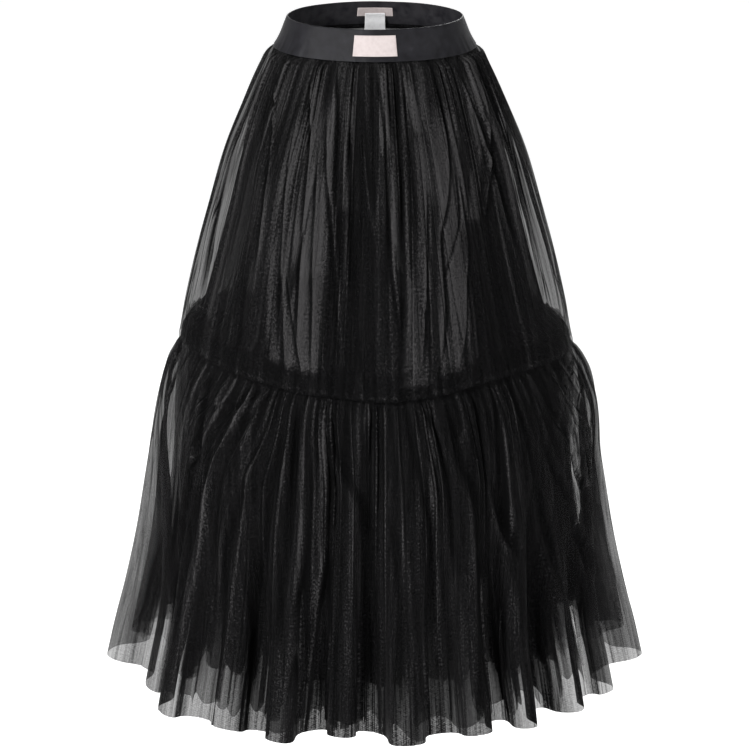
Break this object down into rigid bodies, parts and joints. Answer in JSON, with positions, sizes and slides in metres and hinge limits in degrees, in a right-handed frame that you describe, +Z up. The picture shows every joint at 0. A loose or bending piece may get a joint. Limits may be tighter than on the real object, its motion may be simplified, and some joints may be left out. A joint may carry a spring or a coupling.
{
  "type": "maxi skirt",
  "caption": "Worn maxi skirt of net in two gathered tiers on an elastic waistband, hollow and open at the waist and the hem.",
  "frame": {"origin": "middle of the waist, on the axis, half way down the waistband, where the wearer holds the skirt", "axes": "+Z up, from the hem to the waist; -Y is the front; +X is the right side of a viewer who faces the front"},
  "size_m": [0.738, 0.6653, 0.9],
  "materials": {
    "elastic": "smooth knitted elastic, slightly glossy",
    "cream_weave": "fine woven label, blank",
    "white_tape": "thin satin tape, blank",
    "black_net": "soft fine net, see-through",
    "dense_net": "closer net, darker"
  },
  "bodies": {
    "root": {"waistband": "elastic", "front_patch": "cream_weave", "brand_label": "cream_weave", "care_label": "white_tape", "upper_outer_front": "black_net", "upper_outer_back": "black_net", "upper_under_front": "black_net", "upper_under_back": "black_net", "lower_outer_front": "black_net", "lower_outer_back": "black_net", "lower_middle_front": "black_net", "lower_middle_back": "black_net", "lower_inner_front": "dense_net", "lower_inner_back": "dense_net"}
  },
  "joints": []
}
